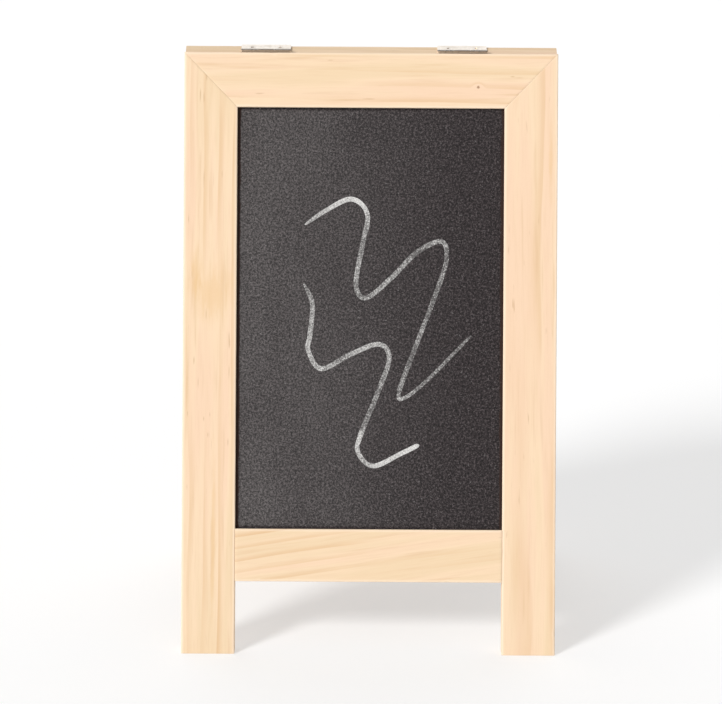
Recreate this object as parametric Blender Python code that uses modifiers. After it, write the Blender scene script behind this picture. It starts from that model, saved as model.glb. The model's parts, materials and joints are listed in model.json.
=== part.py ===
"""Tabletop menu chalkboard easel: two pine frames, hinged along their top edges.

Each frame holds a chalkboard panel in a groove. Two butt hinges join the frames, and a folding
steel stay on each side stops them from spreading further.

Units are metres. +X is to the right of someone who faces the front board, the front board faces -Y,
and +Z is up. The origin is on the floor, in the middle of the footprint.

Each frame is drawn in a frame space of its own, which its pivot empty places in the world: the
origin is on the hinge pins' axis, +X is to the right of someone who faces that board, -Y points out
through the board, and +Z runs up the frame. With both frame spaces upright the easel is folded flat.
"""

import math

import bmesh
import bpy
from mathutils import Matrix, Vector

OBJECT_NAME = "menu_chalkboard_easel"

# Clearance that touching pieces keep between them
FIT = 0.0003

# Frames
WIDTH = 0.250
FACE_LENGTH = 0.4026  # down the front face, from the top edge to the floor
STOCK = 0.012  # thickness of the pine
STILE_WIDTH = 0.0357
TOP_RAIL_WIDTH = 0.0367
OPENING_FOOT = 0.3187  # from the top edge down to the bottom rail
BOTTOM_RAIL_WIDTH = 0.0352
LEAN = math.radians(15)  # each frame, from upright
CLOSED_GAP = 0.001  # between the backs of the folded frames
EASED_EDGE = 0.0008
EASED_EDGE_STEPS = 2

# Chalkboard panels
PANEL_THICKNESS = 0.003
PANEL_RECESS = 0.0032  # of the board's face, behind the frame's
GROOVE_DEPTH = 0.006

# Fasteners inside the frames
DOWEL_RADIUS = 0.0025
DOWEL_LENGTH = 0.024
DOWEL_SPACING = 0.016
NAIL_LEG = 0.006  # each leg of a V nail's section
NAIL_SHEET = 0.0007
NAIL_DEPTH = 0.007
NAIL_SINK = 0.0002  # of its end, below the frame's back

# Hinges
HINGE_CENTRES = {"left": -0.0709, "right": 0.0611}
HINGE_LENGTH = 0.0333
LEAF_REACH = 0.012  # from the pin's axis to a leaf's outer edge
LEAF_THICKNESS = 0.0008
LEAF_CORNER = 0.0008
BARREL_RADIUS = 0.00175
PIN_RADIUS = 0.0008
LEAF_LIFT = 0.00005  # of a leaf's underside, above the bottom of the barrel
SCREW_SPACING = 0.0188
SCREW_REACH = 0.0070  # from the pin's axis to a screw
SCREW_HEAD_RADIUS = 0.0020
SCREW_HEAD_RISE = 0.0004  # of the head's crown, above the leaf
SCREW_RADIUS = 0.0010
SCREW_LENGTH = 0.0090
SCREW_POINT = 0.0020
RECESS_WIDTH = 0.0006  # of the cross recess in a screw's head
RECESS_SPAN = 0.0025
RECESS_DEPTH = 0.00065

# Stays
STAY_DROP = 0.296  # from the hinge pins' axis down to a stay's screws
LINK_WIDTH = 0.0040
LINK_THICKNESS = 0.0010
LINK_HOLE = 0.0015
FRONT_LINK_STANDOFF = 0.0010  # of a front link, from the stile's inner edge
STAY_SCREW_RADIUS = 0.0012
STAY_HEAD_RADIUS = 0.0022
STAY_HEAD_HEIGHT = 0.0010
STAY_HEAD_RIM = 0.2  # the upright share of that height
STAY_SCREW_DEPTH = 0.0090  # into the stile
RIVET_RADIUS = 0.0011
RIVET_HEAD_RADIUS = 0.0019
RIVET_TAIL_HEIGHT = 0.0007

# The frames, and which way each one's own X runs in the world
FACING = {"front": 1, "rear": -1}

# Steps around a turned piece
COARSE = 16
FINE = 24

# Edges sharper than this are corners, and points closer than this are one point
CORNER_ANGLE = math.radians(30)
MERGE_DISTANCE = 0.000005

# Places in frame space, which follow from the sizes above
PIN_RISE = BARREL_RADIUS + FIT  # of the pins' axis, above the frames' top edges
TOP = -PIN_RISE
BACK = -CLOSED_GAP / 2
FACE = BACK - STOCK
HALF_OPENING = WIDTH / 2 - STILE_WIDTH
OPENING_TOP = TOP - TOP_RAIL_WIDTH
OPENING_BOTTOM = TOP - OPENING_FOOT
FOOT = TOP - FACE_LENGTH
PANEL_FACE = FACE + PANEL_RECESS
PANEL_BACK = PANEL_FACE + PANEL_THICKNESS
PIN_HEIGHT = -FOOT * math.cos(LEAN) + FACE * math.sin(LEAN)  # above the floor
LEAF_BOTTOM = LEAF_LIFT - BARREL_RADIUS
LEAF_TOP = LEAF_BOTTOM + LEAF_THICKNESS
STAY_BACKSET = (BACK + PANEL_BACK) / 2  # of a stay's screws, half way into the space behind the panel

# Half the distance between the frames' stay screws, so that the open links lie in one line
LINK_LENGTH = STAY_DROP * math.sin(LEAN) - STAY_BACKSET * math.cos(LEAN)

for old in list(bpy.data.objects):
    bpy.data.objects.remove(old)
PARTS = bpy.data.collections.new(OBJECT_NAME)
CUTTERS = bpy.data.collections.new("cutters")
for collection in (PARTS, CUTTERS):
    bpy.context.scene.collection.children.link(collection)


def material(name, colour, roughness, metallic=0.0):
    """A plain surface of one linear colour."""
    made = bpy.data.materials.new(name)
    made.use_nodes = True
    shader = made.node_tree.nodes["Principled BSDF"]
    shader.inputs["Base Color"].default_value = (*colour, 1.0)
    shader.inputs["Roughness"].default_value = roughness
    shader.inputs["Metallic"].default_value = metallic
    return made


PINE = material("pine", (0.93, 0.70, 0.45), 0.55)
BEECH = material("beech", (0.72, 0.52, 0.34), 0.6)
CHALKBOARD = material("chalkboard", (0.055, 0.052, 0.05), 0.85)
PLATED_STEEL = material("plated_steel", (0.80, 0.79, 0.77), 0.25, 1.0)
ZINC_STEEL = material("zinc_steel", (0.62, 0.63, 0.64), 0.35, 1.0)
BARE_STEEL = material("bare_steel", (0.42, 0.41, 0.40), 0.45, 1.0)


def place(name, mesh, finish=None, owner=None, matrix=None):
    """A new object: a sub-part if it has a finish, and otherwise a cutter."""
    obj = bpy.data.objects.new(name, mesh)
    if finish:
        PARTS.objects.link(obj)
        if finish.name not in mesh.materials:
            mesh.materials.append(finish)
    else:
        CUTTERS.objects.link(obj)
        obj.hide_render = True
        obj.display_type = "WIRE"
    obj.parent = owner
    if matrix:
        obj.matrix_local = matrix
    return obj


def pivot(name, matrix):
    """An empty on a joint's axis, which places the pieces that hang from it."""
    empty = bpy.data.objects.new(name, None)
    PARTS.objects.link(empty)
    empty.empty_display_size = 0.02
    empty.matrix_world = matrix
    return empty


def boolean(obj, operation, tool):
    """Cuts the tool from the object, or joins it on."""
    modifier = obj.modifiers.new(tool.name, "BOOLEAN")
    modifier.operation = operation
    modifier.object = tool


def ease_edges(obj):
    """Rounds over every corner of a bar."""
    modifier = obj.modifiers.new("eased_edges", "BEVEL")
    modifier.width = EASED_EDGE
    modifier.segments = EASED_EDGE_STEPS
    modifier.limit_method = "ANGLE"
    modifier.angle_limit = CORNER_ANGLE


def bare(modelled):
    """The evaluated mesh of a helper object, which is removed."""
    graph = bpy.context.evaluated_depsgraph_get()
    mesh = bpy.data.meshes.new_from_object(modelled.evaluated_get(graph))
    bpy.data.objects.remove(modelled)
    return mesh


def smooth(mesh):
    """Shades a mesh smooth, except over its corners."""
    mesh.shade_smooth()
    mesh.set_sharp_from_angle(angle=CORNER_ANGLE)
    return mesh


def box_mesh(name, low, high, cuts=()):
    """A block between two corners, sawn off beyond each cut, a point and a normal that points away."""
    low = Vector(low)
    size = Vector(high) - low
    bm = bmesh.new()
    bmesh.ops.create_cube(bm, size=1.0, matrix=Matrix.LocRotScale(low + size / 2, None, size))
    for point, normal in cuts:
        sawn = bmesh.ops.bisect_plane(
            bm,
            geom=bm.verts[:] + bm.edges[:] + bm.faces[:],
            plane_co=point,
            plane_no=normal,
            clear_outer=True,
        )
        rim = [item for item in sawn["geom_cut"] if isinstance(item, bmesh.types.BMEdge)]
        bmesh.ops.edgeloop_fill(bm, edges=rim)
    bmesh.ops.recalc_face_normals(bm, faces=bm.faces[:])
    mesh = bpy.data.meshes.new(name)
    bm.to_mesh(mesh)
    bm.free()
    return mesh


def cylinder_mesh(name, radius, start, end, segments):
    """A round bar along X, from one x to another."""
    bm = bmesh.new()
    bmesh.ops.create_cone(
        bm,
        cap_ends=True,
        segments=segments,
        radius1=radius,
        radius2=radius,
        depth=end - start,
        matrix=Matrix.Translation(((start + end) / 2, 0, 0)) @ Matrix.Rotation(math.pi / 2, 4, "Y"),
    )
    mesh = bpy.data.meshes.new(name)
    bm.to_mesh(mesh)
    bm.free()
    return smooth(mesh)


def turned_mesh(name, profile, segments):
    """A turned shape about Z. Its profile is (radius, z) points that run down its outer side."""
    outline = bpy.data.meshes.new(name)
    points = [(radius, 0, z) for radius, z in profile]
    edges = [(index, index + 1) for index in range(len(points) - 1)]
    outline.from_pydata(points, edges, [])
    blank = place(name, outline)
    screw = blank.modifiers.new("turned", "SCREW")
    screw.axis = "Z"
    screw.steps = segments
    screw.render_steps = segments
    screw.use_merge_vertices = True
    screw.merge_threshold = MERGE_DISTANCE
    return smooth(bare(blank))


def plate_mesh(name, outlines, thickness):
    """A flat plate in the XY plane, centred on it. The outlines after the first are its holes."""
    curve = bpy.data.curves.new(name, "CURVE")
    curve.dimensions = "2D"
    curve.fill_mode = "BOTH"
    curve.extrude = thickness / 2
    for outline in outlines:
        spline = curve.splines.new("POLY")
        spline.points.add(len(outline) - 1)
        spline.use_cyclic_u = True
        for point, (x, y) in zip(spline.points, outline):
            point.co = (x, y, 0, 1)
    mesh = bare(place(name, curve))
    bm = bmesh.new()
    bm.from_mesh(mesh)
    bmesh.ops.remove_doubles(bm, verts=bm.verts[:], dist=MERGE_DISTANCE)
    bm.to_mesh(mesh)
    bm.free()
    return mesh


def arc(centre, radius, start, end, steps):
    """Points around a circle in the XY plane, from one angle to another in degrees."""
    angles = [math.radians(start + (end - start) * step / steps) for step in range(steps + 1)]
    return [(centre[0] + radius * math.cos(a), centre[1] + radius * math.sin(a)) for a in angles]


def ring(centre, radius):
    """Points right round a circle in the XY plane."""
    return arc(centre, radius, 0, 360, COARSE)[:-1]


def hands(side):
    """Left and right as seen from in front of the easel, with their signs along X in a frame's space."""
    return ("left", -FACING[side]), ("right", FACING[side])


def mitre_cut(sign, keep_rail):
    """The saw cut from an outer top corner to the opening's corner, on the stile's or the rail's side."""
    normal = Vector((-sign * TOP_RAIL_WIDTH, 0, STILE_WIDTH)).normalized()
    if keep_rail:
        normal.negate()
    return Vector((sign * HALF_OPENING, 0, OPENING_TOP)) - normal * FIT / 2, normal


def build_bars(side, owner):
    """The four pine bars of one frame, keyed by name. The stiles' feet are sawn level with the floor."""
    level = Vector((0, math.sin(LEAN), -math.cos(LEAN)))
    bars = {}
    for hand, sign in hands(side):
        saw_cuts = [mitre_cut(sign, keep_rail=False), (Vector((0, FACE, FOOT)), level)]
        inner, outer = sign * HALF_OPENING, sign * WIDTH / 2
        low = (min(inner, outer), FACE, FOOT - STOCK)
        high = (max(inner, outer), BACK, TOP)
        bars[f"{hand}_stile"] = box_mesh(f"{side}_{hand}_stile", low, high, saw_cuts)
    rail_cuts = [mitre_cut(sign, keep_rail=True) for sign in (-1, 1)]
    bars["top_rail"] = box_mesh(
        f"{side}_top_rail", (-WIDTH / 2, FACE, OPENING_TOP), (WIDTH / 2, BACK, TOP), rail_cuts
    )
    shoulder = HALF_OPENING - FIT
    bars["bottom_rail"] = box_mesh(
        f"{side}_bottom_rail",
        (-shoulder, FACE, OPENING_BOTTOM - BOTTOM_RAIL_WIDTH),
        (shoulder, BACK, OPENING_BOTTOM),
    )
    made = {}
    for name, mesh in bars.items():
        made[name] = place(f"{side}_{name}", mesh, PINE, owner)
        ease_edges(made[name])
    return made


def build_panel(side, owner, bars):
    """The chalkboard panel, and the groove that holds it in all four bars."""
    margin = GROOVE_DEPTH - FIT
    low = Vector((-HALF_OPENING - margin, PANEL_FACE, OPENING_BOTTOM - margin))
    high = Vector((HALF_OPENING + margin, PANEL_BACK, OPENING_TOP + margin))
    place(f"{side}_chalkboard", box_mesh(f"{side}_chalkboard", low, high), CHALKBOARD, owner)
    slack = Vector((FIT, FIT, FIT))
    groove = place(f"{side}_groove", box_mesh("groove", low - slack, high + slack), owner=owner)
    for bar in bars.values():
        boolean(bar, "DIFFERENCE", groove)


def build_dowels(side, owner, bars):
    """Two dowels across each shoulder of the bottom rail."""
    middle = OPENING_BOTTOM - BOTTOM_RAIL_WIDTH / 2
    half = DOWEL_LENGTH / 2
    dowel = cylinder_mesh("dowel", DOWEL_RADIUS, -half, half, COARSE)
    bore = cylinder_mesh("dowel_bore", DOWEL_RADIUS + FIT, -half - FIT, half + FIT, COARSE)
    for hand, sign in hands(side):
        for level, rise in (("upper", DOWEL_SPACING / 2), ("lower", -DOWEL_SPACING / 2)):
            spot = Matrix.Translation((sign * HALF_OPENING, (FACE + BACK) / 2, middle + rise))
            place(f"{side}_{hand}_{level}_dowel", dowel, BEECH, owner, spot)
            hole = place(f"{side}_{hand}_{level}_dowel_bore", bore, owner=owner, matrix=spot)
            boolean(bars[f"{hand}_stile"], "DIFFERENCE", hole)
            boolean(bars["bottom_rail"], "DIFFERENCE", hole)


def v_section(sign, thickness, leg):
    """An L outline whose corner is at the origin: one leg runs inwards, the other down."""
    half = thickness / 2
    outline = [(-half, half), (leg, half), (leg, -half), (half, -half), (half, -leg), (-half, -leg)]
    return [(-sign * x, y) for x, y in outline]


def build_mitre_nails(side, owner, bars):
    """A V nail across each mitre, driven in from the back of the frame."""
    upright = Matrix.Rotation(math.pi / 2, 4, "X")
    for hand, sign in hands(side):
        down = 0.5 - NAIL_LEG / 2 / STILE_WIDTH  # how far down the mitre its corner is
        x = sign * (WIDTH / 2 - down * STILE_WIDTH)
        spot = Vector((x, BACK - NAIL_SINK - NAIL_DEPTH / 2, TOP - down * TOP_RAIL_WIDTH))
        section = [v_section(sign, NAIL_SHEET, NAIL_LEG)]
        nail = plate_mesh("mitre_nail", section, NAIL_DEPTH)
        matrix = Matrix.Translation(spot) @ upright
        place(f"{side}_{hand}_mitre_nail", nail, BARE_STEEL, owner, matrix)
        wide = [v_section(sign, NAIL_SHEET + 2 * FIT, NAIL_LEG + FIT)]
        slot_mesh = plate_mesh("nail_slot", wide, NAIL_DEPTH + 4 * FIT)
        slot = place(f"{side}_{hand}_nail_slot", slot_mesh, owner=owner, matrix=matrix)
        boolean(bars[f"{hand}_stile"], "DIFFERENCE", slot)
        boolean(bars["top_rail"], "DIFFERENCE", slot)


def crown(radius, base, rise):
    """The profile of a domed head, from its middle out to its rim at the base's height."""
    angles = [math.radians(angle) for angle in (0, 30, 60, 90)]
    return [(radius * math.sin(a), base + rise * math.cos(a)) for a in angles]


def cross_recessed(name, profile):
    """A turned screw, with a cross recess in its head."""
    blank = place(name, turned_mesh(name, profile, COARSE))
    top = Vector((0, 0, profile[0][1]))
    corner = Vector((RECESS_SPAN / 2, RECESS_WIDTH / 2, RECESS_DEPTH))
    slot = box_mesh("recess", top - corner, top + corner)
    tools = [
        place(f"{name}_recess_{turn}", slot, matrix=Matrix.Rotation(math.radians(turn), 4, "Z"))
        for turn in (0, 90)
    ]
    for tool in tools:
        boolean(blank, "DIFFERENCE", tool)
    mesh = bare(blank)
    for tool in tools:
        bpy.data.objects.remove(tool)
    return smooth(mesh)


def hinge_screw_meshes():
    """A small raised countersunk wood screw, and its hole. z = 0 is on top of the leaf."""
    countersink = SCREW_RADIUS - SCREW_HEAD_RADIUS  # at 45 degrees, it is as deep as it is wide
    profile = [
        *crown(SCREW_HEAD_RADIUS, 0, SCREW_HEAD_RISE),
        (SCREW_RADIUS, countersink),
        (SCREW_RADIUS, SCREW_POINT - SCREW_LENGTH),
        (0, -SCREW_LENGTH),
    ]
    rim = SCREW_HEAD_RADIUS + FIT
    clear = SCREW_RADIUS + FIT
    hole = [
        (0, rim),
        (rim, rim),
        (rim, 0),
        (clear, countersink),
        (clear, -SCREW_LENGTH - FIT),
        (0, -SCREW_LENGTH - FIT),
    ]
    return cross_recessed("hinge_screw", profile), turned_mesh("hinge_screw_hole", hole, COARSE)


def knuckle_spans(own_leaf):
    """The spans along X of a leaf's own knuckles, and of the other leaf's, with the clearance."""
    third = HINGE_LENGTH / 3
    edges = [-HINGE_LENGTH / 2 + third * index for index in range(4)]
    spans = list(zip(edges, edges[1:]))
    held = [(start, end) for index, (start, end) in enumerate(spans) if index % 2 == own_leaf]
    other = [(start, end) for index, (start, end) in enumerate(spans) if index % 2 != own_leaf]
    return held, other


def build_leaf(name, owner, x, own_leaf, holes):
    """One leaf: its plate, joined to its knuckles, bored for the pin and clear of the other leaf's."""
    half = HINGE_LENGTH / 2
    spot = Matrix.Translation((x, 0, 0))
    corner = LEAF_CORNER - LEAF_REACH
    outline = [(half, 0), (-half, 0), *arc((LEAF_CORNER - half, corner), LEAF_CORNER, 180, 270, 3)]
    outline += arc((half - LEAF_CORNER, corner), LEAF_CORNER, 270, 360, 3)
    plate = plate_mesh(name, [outline], LEAF_THICKNESS)
    plate.transform(Matrix.Translation((0, 0, (LEAF_BOTTOM + LEAF_TOP) / 2)))
    leaf = place(name, plate, PLATED_STEEL, owner, spot)
    held, other = knuckle_spans(own_leaf)
    for number, (start, end) in enumerate(held):
        mesh = cylinder_mesh("knuckle", BARREL_RADIUS, start + FIT / 2, end - FIT / 2, FINE)
        boolean(leaf, "UNION", place(f"{name}_knuckle_{number}", mesh, owner=owner, matrix=spot))
    for number, (start, end) in enumerate(other):
        mesh = cylinder_mesh("gap", BARREL_RADIUS + FIT, start - FIT / 2, end + FIT / 2, FINE)
        boolean(leaf, "DIFFERENCE", place(f"{name}_gap_{number}", mesh, owner=owner, matrix=spot))
    bore = cylinder_mesh("bore", PIN_RADIUS + FIT, -HINGE_LENGTH, HINGE_LENGTH, COARSE)
    boolean(leaf, "DIFFERENCE", place(f"{name}_bore", bore, owner=owner, matrix=spot))
    for hole in holes:
        boolean(leaf, "DIFFERENCE", hole)


def build_hinges(frames):
    """Two butt hinges, with their leaves on the frames' top edges."""
    screw, hole_mesh = hinge_screw_meshes()
    half = HINGE_LENGTH / 2
    for hand, centre in HINGE_CENTRES.items():
        for own_leaf, (side, (owner, bars)) in enumerate(frames.items()):
            facing = FACING[side]
            x = facing * centre
            holes = []
            for number, offset in ((1, -SCREW_SPACING / 2), (2, SCREW_SPACING / 2)):
                spot = Matrix.Translation((x + facing * offset, -SCREW_REACH, LEAF_TOP))
                name = f"{hand}_hinge_{side}_screw_{number}"
                place(name, screw, PLATED_STEEL, owner, spot)
                holes.append(place(f"{name}_hole", hole_mesh, owner=owner, matrix=spot))
            build_leaf(f"{hand}_hinge_{side}_leaf", owner, x, own_leaf, holes)
            for hole in holes:
                boolean(bars["top_rail"], "DIFFERENCE", hole)
        pin = cylinder_mesh(f"{hand}_hinge_pin", PIN_RADIUS, -half, half, COARSE)
        spot = Matrix.Translation((centre, 0, 0))
        place(f"{hand}_hinge_pin", pin, BARE_STEEL, frames["front"][0], spot)


def link_mesh():
    """A flat bar with round ends and a hole at each. It lies along Y, from the hole at the origin."""
    half = LINK_WIDTH / 2
    far = (0, LINK_LENGTH)
    outline = arc((0, 0), half, 180, 360, COARSE // 2) + arc(far, half, 0, 180, COARSE // 2)
    holes = [ring(centre, LINK_HOLE) for centre in ((0, 0), far)]
    mesh = plate_mesh("stay_link", [outline, *holes], LINK_THICKNESS)
    mesh.transform(Matrix.Rotation(math.pi / 2, 4, "Y"))
    return mesh


def stay_screw_mesh(name, under_head):
    """A pan head screw about Z. z = 0 is under its head, and the wood starts under_head below that."""
    point = -under_head - STAY_SCREW_DEPTH
    rim = STAY_HEAD_HEIGHT * STAY_HEAD_RIM
    profile = [
        *crown(STAY_HEAD_RADIUS, rim, STAY_HEAD_HEIGHT - rim),
        (STAY_HEAD_RADIUS, 0),
        (STAY_SCREW_RADIUS, 0),
        (STAY_SCREW_RADIUS, point + SCREW_POINT),
        (0, point),
    ]
    return cross_recessed(name, profile)


def washer_mesh(name, start, end):
    """A washer about Z, between two heights."""
    rings = [ring((0, 0), radius) for radius in (STAY_HEAD_RADIUS, LINK_HOLE)]
    mesh = plate_mesh(name, rings, end - start)
    mesh.transform(Matrix.Translation((0, 0, (start + end) / 2)))
    return mesh


def rivet_meshes(front_link, rear_link):
    """The knee rivet's two halves about Z, which meet between the links."""
    split = front_link + LINK_THICKNESS
    under_tail = rear_link + LINK_THICKNESS + FIT
    head = [
        (0, split),
        (RIVET_RADIUS, split),
        (RIVET_RADIUS, front_link - FIT),
        (RIVET_HEAD_RADIUS, front_link - FIT),
        (RIVET_HEAD_RADIUS, FIT),
        (0, FIT),
    ]
    tail = [
        *crown(RIVET_HEAD_RADIUS, under_tail, RIVET_TAIL_HEIGHT),
        (RIVET_RADIUS, under_tail),
        (RIVET_RADIUS, rear_link),
        (0, rear_link),
    ]
    return turned_mesh("rivet_head", head, COARSE), turned_mesh("rivet_tail", tail, COARSE)


def from_edge(sign, y, z):
    """Places a round piece on a stile's inner edge, with its +Z pointing away from the stile."""
    outwards = Matrix.Rotation(-sign * math.pi / 2, 4, "Y")
    return Matrix.Translation((sign * HALF_OPENING, y, z)) @ outwards


def build_stays(frames):
    """A two-link folding stay in front of each stile's inner edge, straight while the easel is open."""
    front_link = FRONT_LINK_STANDOFF
    rear_link = front_link + LINK_THICKNESS + FIT
    knee_height = PIN_HEIGHT - STAY_DROP * math.cos(LEAN) - STAY_BACKSET * math.sin(LEAN)
    link = link_mesh()
    bore_end = STAY_SCREW_DEPTH + FIT
    bore = cylinder_mesh("stay_bore", STAY_SCREW_RADIUS + FIT, -bore_end, bore_end, COARSE)
    rivets = rivet_meshes(front_link, rear_link)
    for (side, (owner, bars)), layer, rivet in zip(frames.items(), (front_link, rear_link), rivets):
        facing = FACING[side]
        under_head = layer + LINK_THICKNESS + FIT
        screw = stay_screw_mesh(f"{side}_stay_screw", under_head)
        washer = washer_mesh(f"{side}_stay_washer", FIT, layer - FIT)
        for hand, sign in (("left", -1), ("right", 1)):
            name = f"{hand}_stay_{side}"
            seat = from_edge(facing * sign, STAY_BACKSET, -STAY_DROP)
            head_seat = seat @ Matrix.Translation((0, 0, under_head))
            place(f"{name}_screw", screw, ZINC_STEEL, owner, head_seat)
            place(f"{name}_washer", washer, ZINC_STEEL, owner, seat)
            spot = Matrix.Translation((facing * sign * HALF_OPENING, STAY_BACKSET, -STAY_DROP))
            hole = place(f"{name}_bore", bore, owner=owner, matrix=spot)
            boolean(bars[f"{hand}_stile"], "DIFFERENCE", hole)
            x = sign * (HALF_OPENING - layer - LINK_THICKNESS / 2)
            turn = Matrix.Rotation(0 if side == "front" else math.pi, 4, "Z")
            end = Matrix.Translation((x, -facing * LINK_LENGTH, knee_height))
            hook = pivot(f"{name}_pivot", end @ turn)
            place(f"{name}_link", link, ZINC_STEEL, hook)
            knee = from_edge(sign, 0, knee_height)
            place(f"{name}_rivet", rivet, ZINC_STEEL, hook, hook.matrix_world.inverted() @ knee)


def main():
    frames = {}
    lean = Matrix.Rotation(-LEAN, 4, "X")
    for side, turn in zip(FACING, (0, math.pi)):
        matrix = Matrix.Translation((0, 0, PIN_HEIGHT)) @ Matrix.Rotation(turn, 4, "Z") @ lean
        owner = pivot(f"{side}_frame_pivot", matrix)
        bars = build_bars(side, owner)
        build_panel(side, owner, bars)
        build_dowels(side, owner, bars)
        build_mitre_nails(side, owner, bars)
        frames[side] = (owner, bars)
    build_hinges(frames)
    build_stays(frames)


main()
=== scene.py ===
"""The looks of a tabletop menu chalkboard easel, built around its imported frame.

Lengths are metres. In the world the front board faces -Y, and +Z is up. Each wooden frame also has a
space of its own, from the hinge pins' axis: -Y points out through its board, +Z runs up the frame, and
+X is to the right of someone who faces that board.
"""

import json
import random
from math import cos, dist, exp, hypot, pi, radians, sin, sqrt, tan

import bmesh
import bpy
from mathutils import Matrix, Vector, noise


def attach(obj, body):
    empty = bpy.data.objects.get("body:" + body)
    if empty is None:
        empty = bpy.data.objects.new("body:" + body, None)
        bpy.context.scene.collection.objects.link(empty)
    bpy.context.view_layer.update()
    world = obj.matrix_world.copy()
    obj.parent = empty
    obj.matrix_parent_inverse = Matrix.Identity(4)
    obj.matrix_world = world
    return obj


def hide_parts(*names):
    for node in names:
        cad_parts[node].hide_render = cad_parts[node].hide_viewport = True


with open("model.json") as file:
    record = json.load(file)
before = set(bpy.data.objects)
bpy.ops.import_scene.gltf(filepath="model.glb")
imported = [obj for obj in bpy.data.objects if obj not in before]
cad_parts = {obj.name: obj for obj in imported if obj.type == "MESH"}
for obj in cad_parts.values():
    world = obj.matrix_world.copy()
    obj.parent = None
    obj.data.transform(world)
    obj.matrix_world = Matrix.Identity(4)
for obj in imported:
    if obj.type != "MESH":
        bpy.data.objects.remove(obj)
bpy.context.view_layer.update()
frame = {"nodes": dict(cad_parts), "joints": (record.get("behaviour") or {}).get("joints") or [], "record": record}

# Camera
CAMERA_DISTANCE = 2.3
CAMERA_ELEVATION = radians(15.0)
CAMERA_ROLL = radians(0.35)
CAMERA_TARGET = Vector((-0.00578, 0, 0.17836))
CAMERA_LENS = 166.52  # mm, on a sensor 36 mm wide

# Light
KEY_STRENGTH = 2.75
KEY_SPREAD = radians(15)
KEY_AZIMUTH = radians(-42)
KEY_ELEVATION = radians(31)
SKY_FRONT = 0.27  # the surround's brightness behind the camera
SKY_BACK = 1.2  # and behind the easel
SKY_TURN = (0.1, 0.72)  # how far towards +Y it changes
SKY_RIM = (0.36, 0.14)  # how high above the horizon it pales on every side
FLOOR_SIZE = 24.0
FLOOR_LIFT = 0.48  # glow that keeps the paper white

# Wood
ARRIS = 0.0008  # radius of a bar's eased long edges
ARRIS_WANDER = 0.25  # share by which that radius wanders along a bar
ARRIS_SWELLS = 45  # wanders to a metre
ARRIS_STEPS = 5
END_EASE = 0.00006  # of a bar's sawn ends
END_ROUND = ((0.0, 1.0), (0.3, 0.29), (1.0, 0.0))  # that ease's shape: shares along and inwards
STATION = 0.002  # between a bar's cross sections
SIDE_STEP = 0.005  # between points across its flat sides
SIDE_MARGIN = 0.0012  # from an arris to the first of those points
JOINT_GAP = 0.00003  # at the mitres and the rail's shoulders
GROOVE_SLACK = 0.0003
NICKS_PER_BAR = 7
NICK_REACH = (0.0008, 0.0025)
NICK_DEPTH = (0.15, 0.7)  # shares of an arris's radius
RING_SPACING = 0.0085
# The ranges a bar's place in its log is drawn from: the pith beside and behind it, how fast the pith
# wanders both ways, and how far up the log it was cut
PITH_RANGES = ((-0.03, 0.03), (0.03, 0.06))
TILT_RANGES = ((-0.02, 0.02), (-0.04, 0.04))
CUT_RANGE = (1, 5)
# The bars whose pith and wander are chosen instead
LOGS = {
    "front_left_stile": ((0.062, 0.02), (0.004, 0.015)),
    "front_right_stile": ((-0.012, 0.052), (-0.01, 0.012)),
    "front_top_rail": ((0.05, 0.045), (0.012, 0.02)),
    "front_bottom_rail": ((0.085, 0.012), (0.15, 0.01)),
}
# Pin knots: the bar, the place along its frame's x and z, and the radius
KNOTS = [("front_top_rail", (0.0716, -0.0246), 0.001), ("rear_right_stile", (0.101, -0.212), 0.0013)]
# Amber patches and short brown streaks: each one's place, half width and half length
AMBER = {
    "front_left_stile": [
        ((-0.1165, -0.15), 0.004, 0.017), ((-0.106, -0.162), 0.0135, 0.02),
        ((-0.104, -0.325), 0.0016, 0.08),
    ],
    "front_right_stile": [((0.1205, -0.075), 0.0016, 0.03)],
}
STREAKS = {
    "front_left_stile": [
        ((-0.1101, -0.0187), 0.0005, 0.003), ((-0.1142, -0.03), 0.0005, 0.005),
        ((-0.1118, -0.033), 0.0005, 0.004), ((-0.1115, -0.087), 0.0004, 0.006),
        ((-0.1216, -0.1137), 0.0004, 0.004), ((-0.1095, -0.177), 0.0005, 0.004),
        ((-0.1175, -0.2087), 0.0005, 0.003), ((-0.1146, -0.2234), 0.0004, 0.004),
        ((-0.094, -0.2167), 0.0004, 0.005), ((-0.1216, -0.244), 0.0004, 0.0025),
        ((-0.1107, -0.2473), 0.0005, 0.002), ((-0.1066, -0.2446), 0.0004, 0.002),
        ((-0.108, -0.258), 0.0004, 0.002), ((-0.0944, -0.2634), 0.0004, 0.003),
    ],
    "front_top_rail": [
        ((0.0945, -0.0174), 0.0005, 0.0016), ((0.1093, -0.0194), 0.0004, 0.0014),
    ],
    "rear_left_stile": [((-0.102, -0.11), 0.0005, 0.006)],
    "rear_bottom_rail": [((0.03, -0.333), 0.0005, 0.005)],
}

# Colour ramps: each stop's place and its colour
PINE_TONES = (
    (0.38, 0.705, 0.535, 0.35),
    (0.5, 0.742, 0.562, 0.386),
    (0.64, 0.736, 0.532, 0.374),
)
PAINT_TONES = (
    (0.35, 0.004, 0.003, 0.0032),
    (0.5, 0.019, 0.0145, 0.0152),
    (0.65, 0.08, 0.067, 0.069),
)
DUST_TONES = (
    (0.36, 0.19, 0.186, 0.182),
    (0.52, 0.36, 0.353, 0.345),
    (0.66, 0.64, 0.63, 0.61),
)
HARDBOARD_TONES = (
    (0.25, 0.085, 0.046, 0.024),
    (0.5, 0.165, 0.096, 0.052),
    (0.75, 0.27, 0.175, 0.1),
)

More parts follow.
